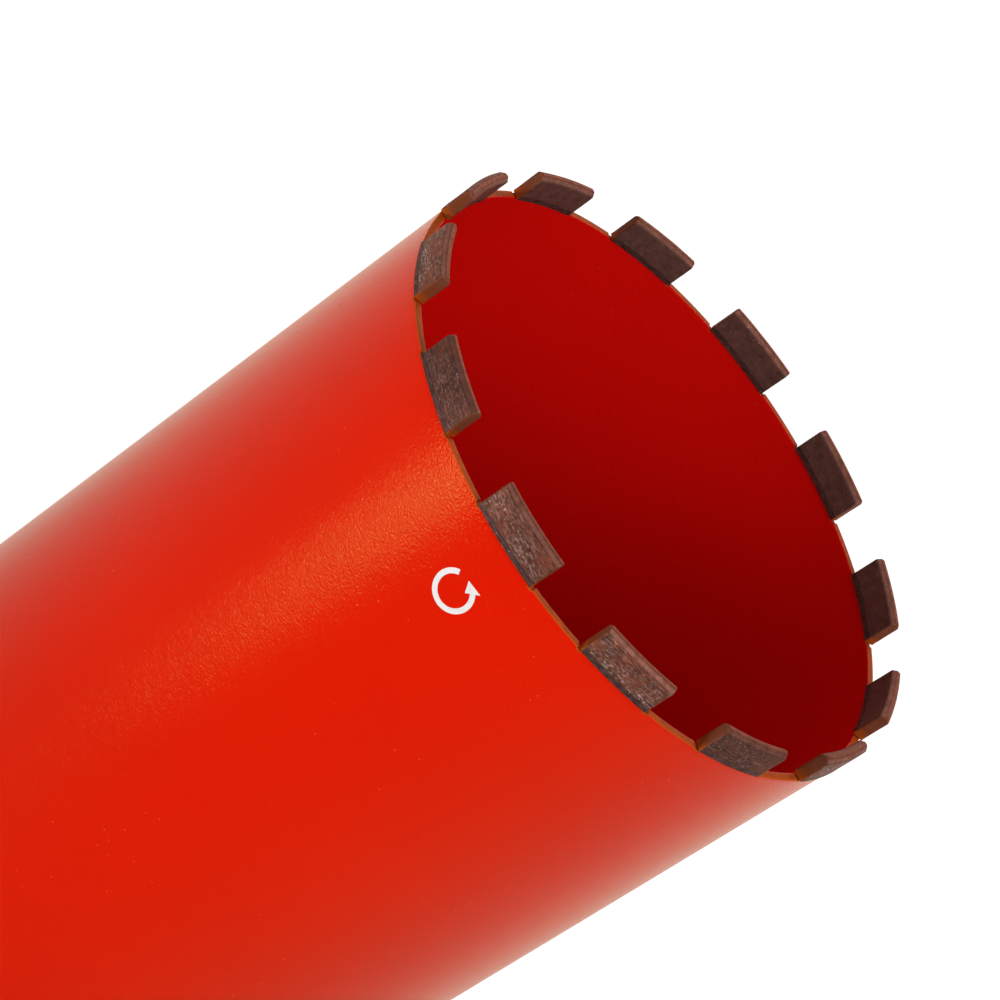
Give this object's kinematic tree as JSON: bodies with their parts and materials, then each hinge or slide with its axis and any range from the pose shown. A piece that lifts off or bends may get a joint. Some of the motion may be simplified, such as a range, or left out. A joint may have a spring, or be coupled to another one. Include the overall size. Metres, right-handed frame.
{
  "type": "diamond core bit",
  "caption": "Wet-drilling core bit: a thin painted steel barrel with curved cutting segments standing on its rim, closed at the back by a plate with a threaded hexagonal hub.",
  "frame": {"origin": "on the bit's axis at the hub's end face, where the drill spindle's shoulder bears and on which the bit stands", "axes": "+Z along the bit's axis from the hub to the cutting crown, -Y through the middle of the first segment"},
  "size_m": [0.182, 0.1815, 0.5025],
  "materials": {
    "barrel_paint": "satin orange-red enamel on steel",
    "segment_metal": "sintered bronze-brown metal with diamond grit",
    "hub_steel": "turned and milled, lightly oiled"
  },
  "bodies": {
    "root": {"barrel": "barrel_paint", "end_plate": "barrel_paint", "hub": "hub_steel", "segment_01": "segment_metal", "segment_02": "segment_metal", "segment_03": "segment_metal", "segment_04": "segment_metal", "segment_05": "segment_metal", "segment_06": "segment_metal", "segment_07": "segment_metal", "segment_08": "segment_metal", "segment_09": "segment_metal", "segment_10": "segment_metal", "segment_11": "segment_metal", "segment_12": "segment_metal", "segment_13": "segment_metal"}
  },
  "joints": []
}
